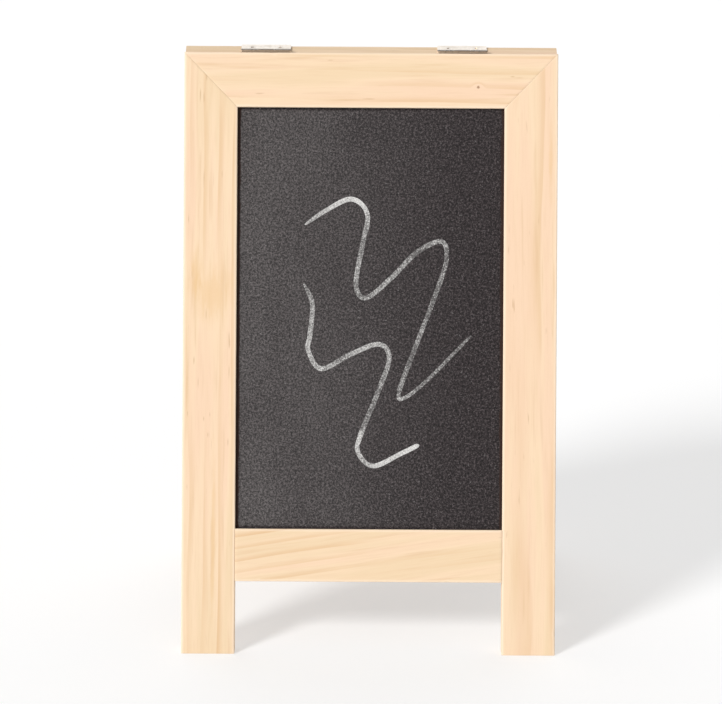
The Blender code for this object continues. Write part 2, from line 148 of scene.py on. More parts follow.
# Boards
BOARD_EASE = 0.0003
BOARD_STEP = 0.006
HALF_OPENING = (0.0893, 0.141)  # across and up, of the part of the board that shows
FRAME_SHADE_MARGIN = 0.0026  # beside the frame, where the board is kept dark as painted shade
FRAME_SHADE_TONE = (0.026, 0.0105, 0.006, 1.0)  # painted shade: dark brown along the frame's left and right sides, where the frame shades the board
FRAME_SHADE_REACH = 0.0028
SCREEN_PRINT = 4200  # of the hardboard's back, radians to a metre

# Chalk: each stroke's points, to the right of the board's middle, above it, and the chalk's pressure
STROKES = {
    "upper": [
        (-0.044, 0.0626, 0.75), (-0.0293, 0.0726, 0.9), (-0.0127, 0.08, 1.0), (-0.0021, 0.0699, 0.9),
        (-0.0054, 0.0483, 0.65), (-0.0094, 0.0226, 0.55), (-0.0025, 0.0139, 0.6), (0.0147, 0.0278, 0.6),
        (0.0311, 0.0445, 0.5), (0.0477, 0.0519, 0.55), (0.051, 0.0393, 0.5), (0.0429, 0.0137, 0.45),
        (0.0291, -0.0229, 0.45), (0.0197, -0.0497, 0.5), (0.0236, -0.0529, 0.6), (0.0395, -0.0402, 0.5),
        (0.0685, -0.0104, 0.4),
    ],
    "lower": [
        (-0.0444, 0.0233, 0.4), (-0.0386, 0.0097, 0.7), (-0.0401, -0.0113, 0.75), (-0.0411, -0.0216, 0.8),
        (-0.0323, -0.0337, 0.85), (-0.0132, -0.0242, 0.7), (0.006, -0.0171, 0.8), (0.0131, -0.0267, 0.75),
        (0.005, -0.051, 0.48), (-0.0057, -0.0779, 0.7), (-0.0074, -0.0894, 0.85), (0.0027, -0.0987, 0.95),
        (0.0219, -0.09, 1.05), (0.0336, -0.0842, 1.1),
    ],
}
STROKE_WIDTH = 0.0046
STROKE_STEP = 0.0008
STROKE_LANES = (-1.0, -0.8, -0.5, 0.0, 0.5, 0.8, 1.0)  # across a stroke, in half widths
STROKE_TAPERS = {"upper": (0.05, 0.025), "lower": (0.05, 0.008)}  # shares of its length, at both ends
STROKE_TIP = 0.25  # share of the width that a tapered end keeps
WIDTH_WANDER = (0.16, 90)  # a share, and wanders to a metre
PRESSURE_WANDER = (0.35, 60)
LAST_LEG = 0.8  # where the upper stroke's thin last leg starts
LAST_LEG_WIDTH = 0.74
SPLINE_STEPS = 24  # between two of a stroke's points
CHALK_RISE = 0.00006
CHALK_SINK = 0.00003

# Metal
TURN_STEPS = 48
DOME_STEPS = 7
FIT = 0.0003
BARREL_RADIUS = 0.00175
KNUCKLES = 3
LEAF_THICKNESS = 0.0008
LEAF_LIFT = 0.00005  # of a leaf's underside, above the bottom of the barrel
LEAF_CORNER = 0.0008
LEAF_EASE = 0.00005
ROLL_START = (-0.0005, -0.0006)  # where its underside and its top leave the flat
# Painted shade on plated metal: the brown of the wood that the knuckles face, and the shade at the leaves' front
# rims and in the screws' recesses
PAINTED_SHADE_TONE = (0.44, 0.285, 0.165, 1.0)
PAINTED_SHADE_SHARE = 0.8  # share of the painted shade at the knuckles and rims
CROWN_RISE = 0.58  # of a face's normal, above which a knuckle is left bright, without painted shade
ROLL_END = 205  # degrees round the pin from +y, where a knuckle's sheet ends
ROLL_STEP = 9
HOLE_GAP = 0.00012
SCREW_HEAD_RADIUS = 0.002
SCREW_HEAD_RISE = 0.0004
SCREW_RADIUS = 0.001
SCREW_HEAD_EASE = (0.00004, 0.00005)  # of the head's rim, inwards and down
THREAD_PITCH = 0.0007
THREAD_DEPTH = 0.00022
THREAD_TURN = ((0.2, 1), (0.5, 0), (0.8, 1))  # a turn's points, in shares of pitch and depth
THREAD_START = 0.0004  # below the shoulder
SCREW_POINT = 0.002
RECESS_SPAN = 0.0025
RECESS_WIDTH = 0.0006
RECESS_DEPTH = 0.00065
RECESS_TAPER = (0.5, 0.7)  # shares of the span and the width at its bottom
RECESS_GRIP = 0.00013  # below the crown, left without painted shade
PIN_RADIUS = 0.0008
PIN_DOME = 0.00025
LINK_HOLE = 0.0015
LINK_EASE = 0.00014
STAY_HEAD_RADIUS = 0.0022
STAY_HEAD_HEIGHT = 0.001
STAY_HEAD_RIM = 0.0002  # straight height below its dome
STAY_HEAD_EASE = 0.00005
STAY_SCREW_RADIUS = 0.0012
STAY_THREAD_START = 0.0003  # below the stile's face
WASHER_EASE = 0.00006
RIVET_EASE = 0.0001
RIVET_RADIUS = 0.0011
RIVET_HEAD_RADIUS = 0.0019
RIVET_TAIL_HEIGHT = 0.0007
DOWEL_FLUTES = 12
DOWEL_FLUTE_DEPTH = 0.08  # share of the radius
NAIL_EASE = 0.0001

# Mesh work
NEAR = 0.000001  # points closer than this are one
CORNER = 35  # degrees between two faces, from which their edge is one
CUTTER_REACH = 0.01  # out of what it cuts
X_FOR_Z = Matrix(((0, 0, 1, 0), (0, 1, 0, 0), (1, 0, 0, 0), (0, 0, 0, 1)))
Z_TO_X = Matrix.Rotation(pi / 2, 4, "Y")
HALF_TURN = [pi * step / 20 for step in range(21)]

FOLD = next(joint for joint in frame["joints"] if joint["name"] == "fold")
LEAN = radians(max(FOLD["range_deg"])) / 2
PINS = Matrix.Translation(FOLD["pos_m"])
SPACE = {
    "front": PINS @ Matrix.Rotation(-LEAN, 4, "X"),
    "rear": PINS @ Matrix.Rotation(pi, 4, "Z") @ Matrix.Rotation(-LEAN, 4, "X"),
}
HANDS = {"front": {"left": -1, "right": 1}, "rear": {"left": 1, "right": -1}}
RANKS = ("upper", "lower")  # of the dowels at a bottom rail's end
SCREWS = (1, 2)  # in a leaf


# Places


def extent(node, side=None):
    """A CAD node's lowest and highest corner, in the world or in a wooden frame's space."""
    inward = SPACE[side].inverted() if side else Matrix.Identity(4)
    points = [inward @ vertex.co for vertex in frame["nodes"][node].data.vertices]
    return tuple(Vector(pick(p[axis] for p in points) for axis in range(3)) for pick in (min, max))


def log_place(bar):
    """Where a bar lay in its log: a function from its frame's space to grain coordinates."""
    draw = random.Random(bar)
    pith, tilt = LOGS.get(bar) or (
        [draw.uniform(*ends) for ends in ranges] for ranges in (PITH_RANGES, TILT_RANGES)
    )
    shift = draw.uniform(*CUT_RANGE)
    along = 0 if bar.endswith("rail") else 2
    low, high = extent(bar, bar.split("_")[0])
    middle = (low + high) / 2

    def place(point):
        local = point - middle
        run = local[along]
        wide = local[2 - along] - pith[0] - tilt[0] * run
        return Vector((wide, local.y + pith[1] - tilt[1] * run, run + shift))

    return place


# Node trees


def add(tree, kind, inputs=(), **settings):
    """A new node. An input is either a number or colour, or another node's output."""
    made = tree.nodes.new("ShaderNode" + kind)
    for name, value in settings.items():
        setattr(made, name, value)
    for name, value in dict(inputs).items():
        if isinstance(value, bpy.types.NodeSocket):
            tree.links.new(value, made.inputs[name])
        else:
            made.inputs[name].default_value = value
    return made


def calc(tree, operation, *values):
    """A Math node's result."""
    return add(tree, "Math", enumerate(values), operation=operation).outputs[0]


def times(tree, first, second):
    """Two numbers, multiplied."""
    return calc(tree, "MULTIPLY", first, second)


def stretch(tree, vector, x, y, z):
    """The vector with each of its parts scaled."""
    return add(tree, "VectorMath", {0: vector, 1: (x, y, z)}, operation="MULTIPLY").outputs[0]


def axes(tree, vector):
    """The vector's three parts."""
    return list(add(tree, "SeparateXYZ", {0: vector}).outputs)


def cloud(tree, vector, density, detail=2.0, roughness=0.5):
    """Fractal noise from 0 to 1, with so many swells to a metre, on each axis or on all."""
    vector = stretch(tree, vector, *(density if isinstance(density, tuple) else (density,) * 3))
    inputs = {"Vector": vector, "Scale": 1.0, "Detail": detail, "Roughness": roughness}
    return add(tree, "TexNoise", inputs).outputs["Fac"]


def remap(tree, value, low, high, to_low=0.0, to_high=1.0):
    """The value taken smoothly from one range to another."""
    inputs = {"Value": value, "From Min": low, "From Max": high, "To Min": to_low, "To Max": to_high}
    return add(tree, "MapRange", inputs, interpolation_type="SMOOTHSTEP").outputs[0]


def mix(tree, factor, first, second):
    """Two colours, mixed."""
    return add(tree, "Mix", {0: factor, 6: first, 7: second}, data_type="RGBA").outputs[2]


def grade(tree, factor, stops):
    """A colour ramp."""
    ramp = add(tree, "ValToRGB", {"Fac": factor})
    elements = ramp.color_ramp.elements
    while len(elements) < len(stops):
        elements.new(0.5)
    for element, (place, *parts) in zip(elements, stops):
        element.position = place
        element.color = rgb(*parts)
    return ramp.outputs["Color"]


def rgb(red, green, blue):
    """An opaque colour, with linear parts."""
    return (red, green, blue, 1.0)


def finish_material(name, tree_maker, **constants):
    """A material whose maker returns its colour, roughness, bump height and bump depth."""
    made = bpy.data.materials.new(name)
    made.use_nodes = True
    tree = made.node_tree
    shader = tree.nodes["Principled BSDF"]
    for socket, value in constants.items():
        shader.inputs[socket.replace("_", " ")].default_value = value
    colour, roughness, height, depth = tree_maker(tree)
    tree.links.new(colour, shader.inputs["Base Color"])
    tree.links.new(roughness, shader.inputs["Roughness"])
    bump = add(tree, "Bump", {"Height": height, "Strength": 1.0, "Distance": depth})
    tree.links.new(bump.outputs["Normal"], shader.inputs["Normal"])
    return made


def attribute(tree, name, output="Vector"):
    """What a mesh's attribute says, as a vector or, from Fac, a number."""
    return add(tree, "Attribute", attribute_name=name).outputs[output]


# Materials


def pine_tree(tree):
    """Pale sanded pine. The grain attribute is the place in the log, whose pith is the z axis."""
    grain = attribute(tree, "grain")
    edge = attribute(tree, "edge", "Fac")
    swell = calc(tree, "SUBTRACT", cloud(tree, grain, (17, 17, 2.8), 2), 0.5)
    ripple = calc(tree, "SUBTRACT", cloud(tree, grain, (110, 110, 10), 2), 0.5)
    squares = [calc(tree, "POWER", part, 2) for part in axes(tree, grain)[:2]]
    radius = calc(tree, "SQRT", calc(tree, "ADD", *squares))
    radius = calc(tree, "MULTIPLY_ADD", swell, 0.022, radius)
    radius = calc(tree, "MULTIPLY_ADD", ripple, 0.0016, radius)
    rings_round_knot, core = knots(tree, grain)
    radius = calc(tree, "MULTIPLY_ADD", rings_round_knot, 0.004, radius)
    count = times(tree, radius, 1 / RING_SPACING)
    ring = calc(tree, "FRACT", count)
    year = add(tree, "TexWhiteNoise", {"W": calc(tree, "FLOOR", count)}, noise_dimensions="1D")
    late = times(tree, remap(tree, ring, 0.5, 0.93), remap(tree, ring, 1.0, 0.94))
    late = times(tree, late, remap(tree, year.outputs["Value"], 0.1, 0.9, 0.15, 1.0))
    patch = cloud(tree, grain, (60, 60, 8), 1)
    late = times(tree, late, remap(tree, patch, 0.36, 0.68, 0.1, 0.95))
    colour = grade(tree, cloud(tree, grain, (75, 75, 4.5), 2, 0.55), PINE_TONES)
    colour = mix(tree, late, colour, rgb(0.64, 0.433, 0.252))
    fibre = cloud(tree, grain, (1100, 1100, 36), 3, 0.6)
    colour = mix(tree, remap(tree, fibre, 0.45, 0.75, 0, 0.22), colour, rgb(0.62, 0.419, 0.247))
    streak = cloud(tree, grain, (260, 260, 13), 2, 0.6)
    colour = mix(tree, remap(tree, streak, 0.55, 0.78, 0, 0.6), colour, rgb(0.63, 0.429, 0.261))
    fleck = cloud(tree, grain, (520, 520, 50), 1)
    colour = mix(tree, remap(tree, fleck, 0.72, 0.82, 0, 0.55), colour, rgb(0.478, 0.298, 0.164))
    colour = mix(tree, stained(tree, grain, STREAKS, 0.6), colour, rgb(0.502, 0.32, 0.177))
    colour = mix(tree, stained(tree, grain, AMBER, 0.52), colour, rgb(0.664, 0.439, 0.225))
    colour = mix(tree, core, colour, rgb(0.287, 0.153, 0.078))
    # Painted highlight: the arrises and sawn ends lightened, as though catching the light
    colour = mix(tree, times(tree, edge, 0.6), colour, rgb(0.803, 0.652, 0.499))
    roughness = remap(tree, fibre, 0.3, 0.7, 0.52, 0.66)
    height = calc(tree, "MULTIPLY_ADD", late, 0.4, fibre)
    return colour, roughness, height, 0.00003


def far_from(tree, grain, bar, spot, wide, long):
    """How far away a spot on a bar's face is, in the half widths and lengths of a patch there."""
    x, z = spot
    spot = log_place(bar)(Vector((x, extent(bar, bar.split("_")[0])[0].y, z)))
    away = add(tree, "VectorMath", {0: grain, 1: spot}, operation="SUBTRACT").outputs[0]
    away = stretch(tree, away, 1 / wide, 1 / wide, 1 / long)
    return add(tree, "VectorMath", {0: away}, operation="LENGTH").outputs["Value"]


def knots(tree, grain):
    """How far the rings give way round the pin knots, and the knots' dark cores."""
    push, core = 0.0, 0.0
    wobble = cloud(tree, grain, 900, 2)
    for bar, spot, radius in KNOTS:
        away = far_from(tree, grain, bar, spot, radius, radius)
        push = calc(tree, "ADD", push, remap(tree, away, 6.0, 0.0))
        ragged = calc(tree, "MULTIPLY_ADD", wobble, 0.7, away)
        core = calc(tree, "ADD", core, remap(tree, ragged, 1.6, 0.9, 0.0, 0.85))
    return push, core


def stained(tree, grain, patches, strength):
    """How strongly the grain is stained by the patches."""
    total = 0.0
    wobble = cloud(tree, grain, (260, 260, 60), 3, 0.6)
    for bar, marks in patches.items():
        for spot, wide, long in marks:
            away = far_from(tree, grain, bar, spot, wide, long)
            ragged = calc(tree, "MULTIPLY_ADD", wobble, 1.6, away)
            total = calc(tree, "ADD", total, remap(tree, ragged, 2.1, 0.9, 0.0, strength))
    return total


def board_layers(tree):
    """The painted board's colour, roughness and tooth, paler towards the left, with painted shade along the frame.
    """
    place = attribute(tree, "grain")
    tooth = cloud(tree, place, 700, 4, 0.8)
    fine = cloud(tree, place, 1700, 2, 0.6)
    speckle = calc(tree, "MULTIPLY_ADD", calc(tree, "SUBTRACT", fine, 0.5), 0.5, tooth)
    paint = grade(tree, speckle, PAINT_TONES)
    grit = cloud(tree, place, 610, 1)
    paint = mix(tree, remap(tree, grit, 0.67, 0.74, 0.0, 0.6), paint, rgb(0.15, 0.14, 0.14))
    paint = mix(tree, remap(tree, grit, 0.34, 0.27, 0.0, 0.9), paint, rgb(0.0015, 0.001, 0.001))
    side = axes(tree, place)
    smear = cloud(tree, place, (26, 26, 11), 3, 0.55)
    # A pale grey mixed in, strongest towards the left and fading out to the right
    left_pallor = remap(tree, side[0], 0.08, -0.095, 0.0, 0.065)
    left_pallor = times(tree, left_pallor, remap(tree, smear, 0.2, 0.8, 0.75, 1.25))
    left_pallor = times(tree, left_pallor, remap(tree, speckle, 0.34, 0.66, 0.4, 1.6))
    from_frame = [
        calc(tree, "SUBTRACT", half, calc(tree, "ABSOLUTE", side[axis]))
        for axis, half in zip((0, 2), HALF_OPENING)
    ]
    near = calc(tree, "MINIMUM", *from_frame)
    # Painted shade: the pale grey fades out beside the frame, leaving the board darker there
    left_pallor = times(tree, left_pallor, remap(tree, near, FRAME_SHADE_MARGIN * 0.4, FRAME_SHADE_MARGIN))
    colour = mix(tree, left_pallor, paint, rgb(0.62, 0.596, 0.578))
    # Painted shade: the board darkened to brown along the frame's left and right sides
    crumbling = cloud(tree, place, (500, 500, 120), 3, 0.6)
    frame_shade = calc(tree, "MULTIPLY_ADD", crumbling, FRAME_SHADE_REACH, from_frame[0])
    colour = mix(tree, remap(tree, frame_shade, FRAME_SHADE_REACH * 1.4, FRAME_SHADE_REACH, 0.0, 0.85), colour, FRAME_SHADE_TONE)
    roughness = remap(tree, speckle, 0.3, 0.7, 0.72, 0.88)
    return colour, roughness, speckle


def chalkboard_tree(tree):
    """The painted board where there is no stroke."""
    colour, roughness, tooth = board_layers(tree)
    return colour, roughness, tooth, 0.00006


def chalk_tree(tree):
    """Chalk dragged over the board's tooth. Its stroke attribute is (across, along, pressure)."""
    colour, roughness, tooth = board_layers(tree)
    across, along, pressure = axes(tree, attribute(tree, "stroke"))
    drag = add(tree, "CombineXYZ", {0: across, 1: along}).outputs[0]
    streak = cloud(tree, drag, (2.6, 90, 0), 2)
    place = attribute(tree, "grain")
    grit = cloud(tree, place, 900, 2, 0.7)
    uneven = calc(tree, "SUBTRACT", grit, 0.5)
    rim = calc(tree, "SUBTRACT", 1, calc(tree, "ABSOLUTE", across))
    rim = calc(tree, "SUBTRACT", rim, uneven)
    cover = calc(tree, "MULTIPLY_ADD", calc(tree, "SUBTRACT", streak, 0.5), 0.35, pressure)
    cover = calc(tree, "SUBTRACT", cover, times(tree, uneven, 2.2))
    mask = remap(tree, cover, 0.15, 1.05, 0.16, 0.95)
    mask = times(tree, mask, remap(tree, rim, 0.04, 0.26))
    dust = grade(tree, cloud(tree, place, 1500, 1, 0.5), DUST_TONES)
    dust = mix(tree, remap(tree, pressure, 0.65, 1.15, 0.0, 0.42), dust, rgb(0.8, 0.785, 0.765))
    colour = mix(tree, mask, colour, dust)
    rougher = calc(tree, "MULTIPLY_ADD", mask, calc(tree, "SUBTRACT", 0.95, roughness), roughness)
    return colour, rougher, calc(tree, "MULTIPLY_ADD", mask, 0.6, tooth), 0.00006


def hardboard_tree(tree):
    """The board's raw back: pressed brown fibre with the print of a screen."""
    place = attribute(tree, "grain")
    fibre = cloud(tree, place, (420, 420, 160), 4, 0.65)
    blot = cloud(tree, place, 30, 3)
    waves = [calc(tree, "SINE", times(tree, part, SCREEN_PRINT)) for part in axes(tree, place)[::2]]
    weave = times(tree, *waves)
    colour = grade(tree, fibre, HARDBOARD_TONES)
    colour = mix(tree, remap(tree, blot, 0.35, 0.7, 0, 0.3), colour, rgb(0.12, 0.066, 0.034))
    height = calc(tree, "MULTIPLY_ADD", weave, 0.25, fibre)
    return colour, remap(tree, fibre, 0.2, 0.8, 0.7, 0.85), height, 0.00008


def metal_tree(base, dull, coarse, rough, scratch_depth):
    """A maker for metal, from its colours, blotches, range of roughness and depth of scratches."""

    def make(tree):
        place = add(tree, "TexCoord").outputs["Object"]
        blotch = cloud(tree, place, coarse, 3, 0.6)
        scratch = cloud(tree, place, (260, 5200, 5200), 2, 0.6)
        colour = mix(tree, remap(tree, blotch, 0.35, 0.72), base, dull)
        # Painted shade, from the attribute that each piece's mesh carries
        colour = mix(tree, attribute(tree, "painted_shade", "Fac"), colour, PAINTED_SHADE_TONE)
        wear = calc(tree, "MULTIPLY_ADD", scratch, 0.35, blotch)
        return colour, remap(tree, wear, 0.4, 0.95, *rough), scratch, scratch_depth

    return make


def beech_tree(tree):
    """Plain beech, with short dark flecks along x."""
    place = add(tree, "TexCoord").outputs["Object"]
    fleck = cloud(tree, place, (300, 2400, 2400), 2)
    colour = mix(tree, remap(tree, fleck, 0.5, 0.7), rgb(0.5, 0.34, 0.21), rgb(0.36, 0.22, 0.13))
    return colour, remap(tree, fleck, 0.3, 0.7, 0.55, 0.7), fleck, 0.00003


def floor_tree(tree):
    """Smooth pale paper, with the faintest unevenness."""
    place = add(tree, "TexCoord").outputs["Object"]
    tone = cloud(tree, place, 1.5, 2)
    colour = mix(tree, tone, rgb(0.49, 0.49, 0.49), rgb(0.51, 0.51, 0.51))
    return colour, remap(tree, tone, 0.2, 0.8, 0.75, 0.85), tone, 0.0002


METALS = {
    "plated_steel": (rgb(0.86, 0.8, 0.73), rgb(0.79, 0.72, 0.64), 420, (0.25, 0.38), 0.0000008),
    "zinc_steel": (rgb(0.63, 0.64, 0.66), rgb(0.53, 0.54, 0.56), 160, (0.28, 0.46), 0.0000015),
    "bare_steel": (rgb(0.5, 0.49, 0.47), rgb(0.33, 0.3, 0.27), 500, (0.32, 0.52), 0.000002),
}
CHALK = finish_material("chalk", chalk_tree, Specular_IOR_Level=0.1)
HARDBOARD = finish_material("hardboard", hardboard_tree, Specular_IOR_Level=0.3)
FLOOR = finish_material(
    "floor", floor_tree, Emission_Color=rgb(1.0, 1.0, 1.0), Emission_Strength=FLOOR_LIFT
)
FINISHES = {
    "pine": finish_material("pine", pine_tree, Specular_IOR_Level=0.35),
    "beech": finish_material("beech", beech_tree, Specular_IOR_Level=0.3),
    "chalkboard": finish_material("chalkboard", chalkboard_tree, Specular_IOR_Level=0.22),
    **{slot: finish_material(slot, metal_tree(*looks), Metallic=1.0) for slot, looks in METALS.items()},
}
SLOT_OF = {part["node"]: part["material_slot"] for part in frame["record"]["subparts"]}


# Meshes


def new_object(name, data):
    """A new object in the scene."""
    made = bpy.data.objects.new(name, data)
    bpy.context.scene.collection.objects.link(made)
    return made


def box(low, high):
    """A box, as a bmesh."""
    low, high = Vector(low), Vector(high)
    bm = bmesh.new()
    bmesh.ops.create_cube(bm, size=1.0, matrix=Matrix.LocRotScale((low + high) / 2, None, high - low))
    return bm


def bridge(bm, first, second):
    """Joins two rings of as many points with faces."""
    for index in range(len(first)):
        after = (index + 1) % len(first)
        bm.faces.new((first[index], first[after], second[after], second[index]))


def to_mesh(bm, name):
    """A mesh of the bmesh, which is freed."""
    mesh = bpy.data.meshes.new(name)
    bm.to_mesh(mesh)
    bm.free()
    return mesh


def shade(mesh, angle=CORNER):
    """Shades a mesh smooth, but for its corners."""
    mesh.shade_smooth()
    mesh.set_sharp_from_angle(angle=radians(angle))
    return mesh


def show(name, mesh, materials, body, slot, matrix, replaced=()):
    """Puts a piece in the scene, on its body."""
    piece = new_object(name, mesh)
    for material in materials:
        mesh.materials.append(material)
    mesh.transform(matrix)
    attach(piece, body)
    if replaced:
        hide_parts(*replaced)


def stand_in(node, ending, mesh, body, matrix=Matrix(), materials=()):
    """Shows a finer piece in a CAD node's place, in its slot's finish if none is given."""
    slot = SLOT_OF[node]
    show(f"{node}_{ending}", mesh, materials or [FINISHES[slot]], body, slot, matrix, [node])


def set_attribute(mesh, name, values, domain="POINT"):
    """Gives every vertex or face a number or a vector."""
    if isinstance(values[0], float):
        mesh.attributes.new(name, "FLOAT", domain).data.foreach_set("value", values)
    else:
        layer = mesh.attributes.new(name, "FLOAT_VECTOR", domain)
        layer.data.foreach_set("vector", [part for value in values for part in value])


def welded(mesh, gap):
    """A bmesh of the mesh, with points closer than the gap made one."""
    bm = bmesh.new()
    bm.from_mesh(mesh)
    bmesh.ops.remove_doubles(bm, verts=bm.verts[:], dist=gap)
    return bm


def face_out(bm):
    """Turns every face outwards."""
    bmesh.ops.recalc_face_normals(bm, faces=bm.faces[:])


def clearance(node, side, gap):
    """A CAD node grown by a gap, as a cutter in its wooden frame's space."""
    bm = welded(frame["nodes"][node].data, NEAR)
    bmesh.ops.transform(bm, matrix=SPACE[side].inverted(), verts=bm.verts[:])
    face_out(bm)
    bm.normal_update()
    moves = [vertex.normal * gap * vertex.calc_shell_factor() for vertex in bm.verts]
    for vertex, move in zip(bm.verts, moves):
        vertex.co += move
    return to_mesh(bm, node + "_clearance")


def cut(mesh, cutters):
    """The mesh with each of the cutters taken out of it."""
    block = new_object("block", mesh)
    tools = [new_object("tool", cutter) for cutter in cutters]
    for tool in tools:
        modifier = block.modifiers.new("cut", "BOOLEAN")
        modifier.operation = "DIFFERENCE"
        modifier.object = tool
    graph = bpy.context.evaluated_depsgraph_get()
    result = bpy.data.meshes.new_from_object(block.evaluated_get(graph))
    for helper in [block, *tools]:
        bpy.data.objects.remove(helper)
    return result


# Wooden bars


def section(low, high, radii):
    """Points round a bar's section, counter-clockwise: (x, y, closeness to its four arrises)."""
    corners = [(low[0], low[1]), (high[0], low[1]), (high[0], high[1]), (low[0], high[1])]
    points = []
    for index, ((x, y), radius) in enumerate(zip(corners, radii)):
        start = pi * (1 + index / 2)
        centre_x = x + radius * (1 if index in (0, 3) else -1)
        centre_y = y + radius * (1 if index in (0, 1) else -1)
        for step in range(ARRIS_STEPS + 1):
            angle = start + pi / 2 * step / ARRIS_STEPS
            spot = (centre_x + radius * cos(angle), centre_y + radius * sin(angle))
            points.append((*spot, 1.0))
    outline = []
    for index, point in enumerate(points):
        outline.append(point)
        if index % (ARRIS_STEPS + 1) == ARRIS_STEPS:
            after = points[(index + 1) % len(points)]
            length = dist(point[:2], after[:2])
            count = max(2, round(length / SIDE_STEP))
            margin = SIDE_MARGIN / length
            for share in (margin, *[step / count for step in range(1, count)], 1 - margin):
                spot = [a + (b - a) * share for a, b in zip(point[:2], after[:2])]
                outline.append((*spot, 0.0))
    return outline


def bar_mesh(name, low, high, start, end, seed):
    """A bar along z from start(x, y) to end(x, y), with nicks in eased edges that wander.

    Its edge attribute is 1 at the arrises and the ends.
    """
    draw = random.Random(seed)
    length = max(end(x, low[1]) - start(x, low[1]) for x in (low[0], high[0]))
    nicks = [
        (draw.uniform(0, 1), draw.randrange(4), draw.uniform(*NICK_REACH), draw.uniform(*NICK_DEPTH))
        for _ in range(NICKS_PER_BAR)
    ]
    count = round(length / STATION)
    stations = [(END_EASE * step / length, END_EASE * inset) for step, inset in END_ROUND]
    stations += [(step / count, 0.0) for step in range(1, count)]
    stations += [(1 - share, inset) for share, inset in reversed(stations[:3])]
    bm = bmesh.new()
    closeness = bm.verts.layers.float.new("edge")
    rings = []
    for share, inset in stations:
        radii = []
        for corner in range(4):
            swell = noise.noise(Vector((share * length * ARRIS_SWELLS, corner * 7.3, seed)))
            radius = ARRIS * (1 + ARRIS_WANDER * swell)
            for place, nicked, reach, depth in nicks:
                if nicked == corner:
                    radius += ARRIS * depth * exp(-(((share - place) * length / reach) ** 2))
            radii.append(radius)
        ring = []
        inner = [low[0] + inset, low[1] + inset], [high[0] - inset, high[1] - inset]
        for x, y, near in section(*inner, radii):
            z = start(x, y) * (1 - share) + end(x, y) * share
            vertex = bm.verts.new((x, y, z))
            vertex[closeness] = near if inset == 0 else 1.0
            ring.append(vertex)
        rings.append(ring)
    for first, second in zip(rings, rings[1:]):
        bridge(bm, first, second)
    bm.faces.new(rings[0][::-1])
    bm.faces.new(rings[-1])
    return to_mesh(bm, name)


def bar_cutters(side, bar):
    """The CAD nodes that a bar is cut for."""
    if bar == "top_rail":
        nodes = [f"{side}_{hand}_mitre_nail" for hand in HANDS[side]]
        nodes += [f"{hand}_hinge_{side}_screw_{item}" for hand in HANDS[side] for item in SCREWS]
    elif bar == "bottom_rail":
        nodes = [f"{side}_{hand}_{rank}_dowel" for hand in HANDS[side] for rank in RANKS]
    else:
        hand = bar.split("_")[0]
        nodes = [f"{side}_{hand}_{rank}_dowel" for rank in RANKS]
        nodes += [f"{side}_{hand}_mitre_nail", f"{hand}_stay_{side}_screw"]
    return [f"{side}_chalkboard", *nodes]


def add_bar(side, bar, seed):
    """One pine bar, cut for the board and for its fasteners."""
    node = f"{side}_{bar}"
    low, high = extent(node, side)
    stile = extent(f"{side}_right_stile", side)
    half_opening, half_width = sorted(abs(corner.x) for corner in stile)
    opening_top, top = (corner.z for corner in extent(f"{side}_top_rail", side))
    slope = (top - opening_top) / (half_width - half_opening)
    gap = JOINT_GAP / 2 * hypot(1, slope)

    def heel(x, y):
        """Where a stile's foot is sawn off, level when the easel is open."""
        return stile[0].z + (y - low.y) * tan(LEAN)

    def mitre(x, y):
        """Where a stile's mitred end is."""
        return opening_top + (abs(x) - half_opening) * slope - gap

    def reach(z, y):
        """How far a rail runs to both sides."""
        if bar == "top_rail":
            return half_opening + (z - opening_top) / slope - gap / slope
        return half_opening - JOINT_GAP

    if bar.endswith("stile"):
        mesh = bar_mesh(node, (low.x, low.y), (high.x, high.y), heel, mitre, seed)
    else:
        # Made along z, then laid along x
        mesh = bar_mesh(node, (low.z, low.y), (high.z, high.y), lambda z, y: -reach(z, y), reach, seed)
        mesh.transform(X_FOR_Z)
        mesh.flip_normals()
    mesh = cut(mesh, [clearance(name, side, GROOVE_SLACK) for name in bar_cutters(side, bar)])
    place = log_place(node)
    set_attribute(mesh, "grain", [place(vertex.co) for vertex in mesh.vertices])
    stand_in(node, "wood", shade(mesh), f"{side}_frame", SPACE[side])


# Boards and chalk


def add_board(side):
    """The board, with a painted face and raw edges and back. Returns its face's middle and its own."""
    node = f"{side}_chalkboard"
    low, high = extent(node, side)
    size = high - low
    middle = (low + high) / 2
    bm = box(low, high)
    bmesh.ops.bevel(bm, geom=bm.edges[:], offset=BOARD_EASE, segments=2, profile=0.5, affect="EDGES")
    for axis, normal in ((0, (1, 0, 0)), (2, (0, 0, 1))):
        count = round(size[axis] / BOARD_STEP)
        for step in range(1, count):
            spot = Vector(middle)
            spot[axis] = low[axis] + size[axis] * step / count
            everything = bm.verts[:] + bm.edges[:] + bm.faces[:]
            bmesh.ops.bisect_plane(bm, geom=everything, plane_co=spot, plane_no=normal)
    for face in bm.faces:
        face.material_index = 0 if face.normal.y < -0.5 else 1
    mesh = to_mesh(bm, node)
    set_attribute(mesh, "grain", [vertex.co - middle for vertex in mesh.vertices])
    both = [FINISHES["chalkboard"], HARDBOARD]
    stand_in(node, "panel", shade(mesh), f"{side}_frame", SPACE[side], both)
    return Vector((middle.x, low.y, middle.z)), middle


